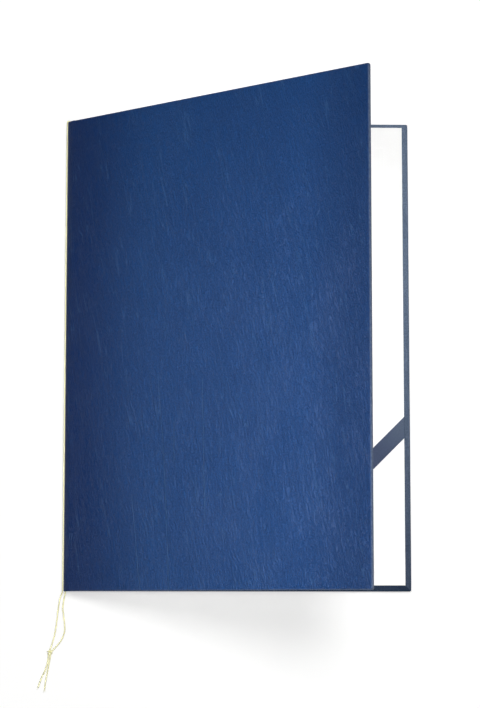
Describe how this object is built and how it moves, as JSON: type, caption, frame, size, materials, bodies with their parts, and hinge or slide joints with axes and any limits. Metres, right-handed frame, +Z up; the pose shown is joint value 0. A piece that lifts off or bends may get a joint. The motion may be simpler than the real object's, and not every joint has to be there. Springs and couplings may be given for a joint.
{
  "type": "diploma cover",
  "caption": "Hardback presentation cover for a certificate: two leatherette-wrapped boards on a flexible fold, white linings, a corner strap and a knotted metallic cord along the fold.",
  "frame": {"origin": "centre of the back cover's underside, on the surface it lies on", "axes": "+Z up out of the back cover, +Y along the fold to the head edge, +X from the fold to the fore-edge"},
  "size_m": [0.2419, 0.3743, 0.1268],
  "materials": {
    "leatherette": "navy leatherette with a fine creased grain, satin sheen",
    "greyboard": "grey pressed bookbinding board",
    "lining": "smooth white paper",
    "strap": "navy leatherette band",
    "cord": "pale gold metallic yarn, twisted"
  },
  "bodies": {
    "back_cover": {"back_board": "greyboard", "back_covering": "leatherette", "fold_covering": "leatherette", "hinge_strip": "leatherette", "back_lining": "lining", "corner_strap": "strap", "cord": "cord"},
    "front_cover": {"front_board": "greyboard", "front_covering": "leatherette", "front_lining": "lining"}
  },
  "joints": [
    {"name": "cover_fold", "type": "hinge", "parent": "back_cover", "child": "front_cover", "pos_m": [-0.10995, 0, 0.0032], "axis": [0, -1, 0], "range_deg": [-33, 147], "deforming": ["fold_covering", "hinge_strip"]}
  ]
}
